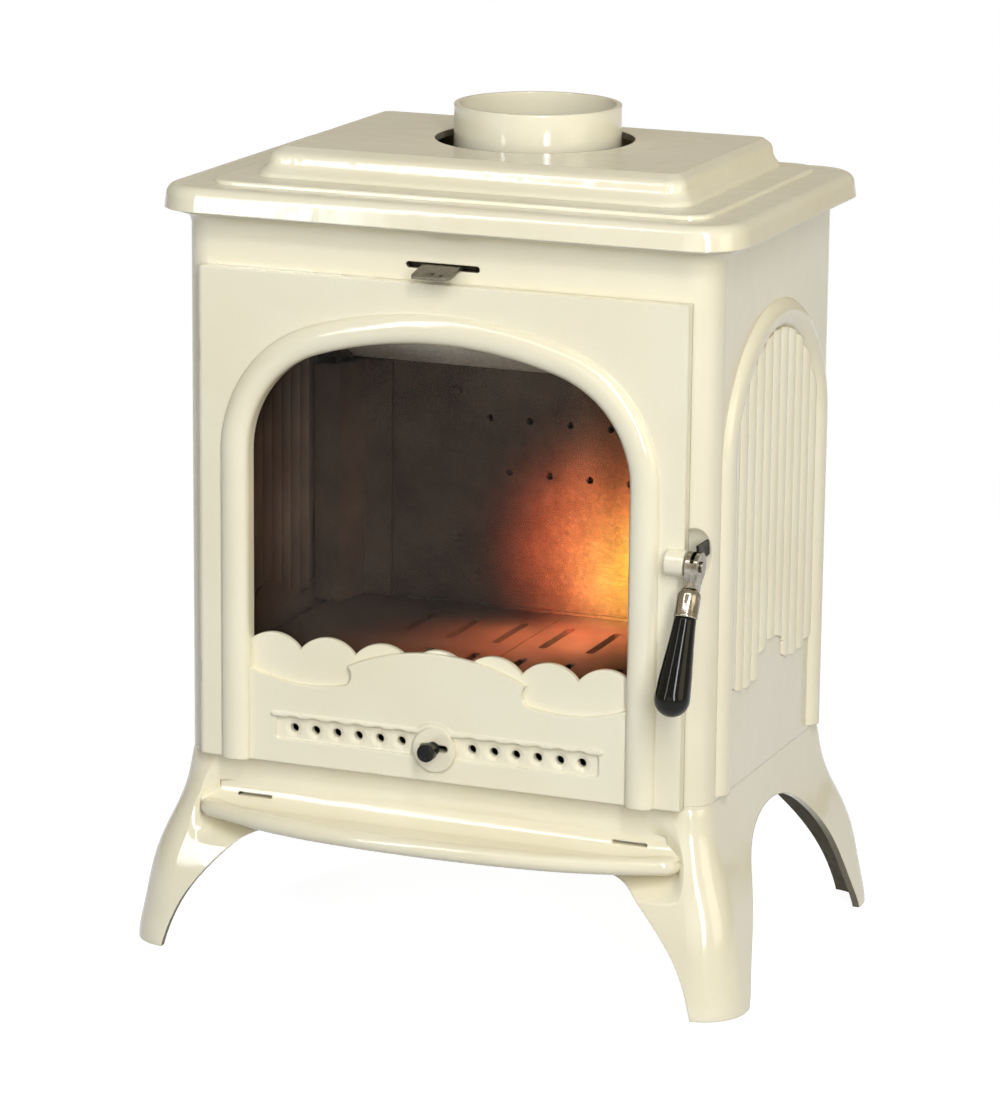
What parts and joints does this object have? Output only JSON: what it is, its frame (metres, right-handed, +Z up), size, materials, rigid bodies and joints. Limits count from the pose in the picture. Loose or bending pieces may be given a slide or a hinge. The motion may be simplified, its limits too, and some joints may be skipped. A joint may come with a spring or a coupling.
{
  "type": "cast iron stove",
  "caption": "Freestanding enamelled cast iron wood stove on splayed legs, with an arched glass door, fluted side panels, an ash ledge, air controls, a grate and a top flue collar.",
  "frame": {"origin": "on the floor, under the middle of the whole stove's box", "axes": "+Z up, +X to the viewer's right as one faces the door, -Y out of the door towards the viewer"},
  "size_m": [0.578, 0.4493, 0.7436],
  "materials": {
    "enamel": "gloss vitreous enamel, ivory",
    "bare_iron": "raw, fire-browned",
    "fixing_steel": "satin, darkened",
    "dark_steel": "blackened",
    "lever_steel": "satin grey brown",
    "bright_steel": "bright plated",
    "baffle_board": "dull light grey board",
    "pan_steel": "black stove paint",
    "rope": "woven glass rope, black",
    "gasket": "flat glass-fibre tape",
    "glass": "clear ceramic glass",
    "knob": "black, glossy",
    "grip": "black, satin gloss"
  },
  "bodies": {
    "stove": {"leg_base": "enamel", "bottom_plate": "bare_iron", "side_panel_right": "enamel", "side_panel_left": "enamel", "front_frame": "enamel", "catch_plate": "dark_steel", "catch_screw": "fixing_steel", "hinge_pin_lower": "fixing_steel", "hinge_pin_upper": "fixing_steel", "back_panel": "enamel", "fireback": "bare_iron", "fireback_screws": "fixing_steel", "top_plate": "enamel", "inner_top_plate": "bare_iron", "flue_collar": "enamel", "collar_bolts": "fixing_steel", "tie_rods": "fixing_steel", "tie_rod_nuts": "fixing_steel", "baffle": "baffle_board", "baffle_rails": "bare_iron", "grate_bars": "bare_iron", "grate_left": "bare_iron", "grate_right": "bare_iron", "corner_flange_right": "bare_iron", "corner_flange_left": "bare_iron", "pan_rails": "bare_iron", "air_wash_guides": "dark_steel"},
    "door": {"door": "enamel", "door_seal": "rope", "glass_seal": "gasket", "door_glass": "glass", "glass_clips": "fixing_steel", "clip_screws": "fixing_steel", "slide_bushes": "fixing_steel", "slide_screws": "fixing_steel", "handle_bolt": "bright_steel"},
    "handle": {"handle_fork": "bright_steel", "handle_ferrule": "bright_steel", "handle_grip": "grip"},
    "primary_air": {"air_slide": "dark_steel", "air_knob": "knob"},
    "air_wash": {"air_wash_slide": "dark_steel", "air_wash_lever": "lever_steel"},
    "ash_pan": {"ash_pan": "pan_steel"}
  },
  "joints": [
    {"name": "door_swing", "type": "hinge", "parent": "stove", "child": "door", "pos_m": [-0.2227, -0.14916, 0.39645], "axis": [0, 0, -1], "range_deg": [0, 110]},
    {"name": "handle_lift", "type": "hinge", "parent": "door", "child": "handle", "pos_m": [0.239, -0.16085, 0.3958], "axis": [-1, 0, 0], "range_deg": [0, 70]},
    {"name": "primary_air_shift", "type": "slide", "parent": "door", "child": "primary_air", "axis": [1, 0, 0], "range_m": [-0.01, 0.01]},
    {"name": "air_wash_shift", "type": "slide", "parent": "stove", "child": "air_wash", "axis": [1, 0, 0], "range_m": [-0.015, 0.015]},
    {"name": "ash_pan_slide", "type": "slide", "parent": "stove", "child": "ash_pan", "axis": [0, -1, 0], "range_m": [0, 0.135]}
  ],
  "couplings": [
    {"joint": "ash_pan_slide", "follows": "door_swing", "m_per_rad": 0.07}
  ]
}
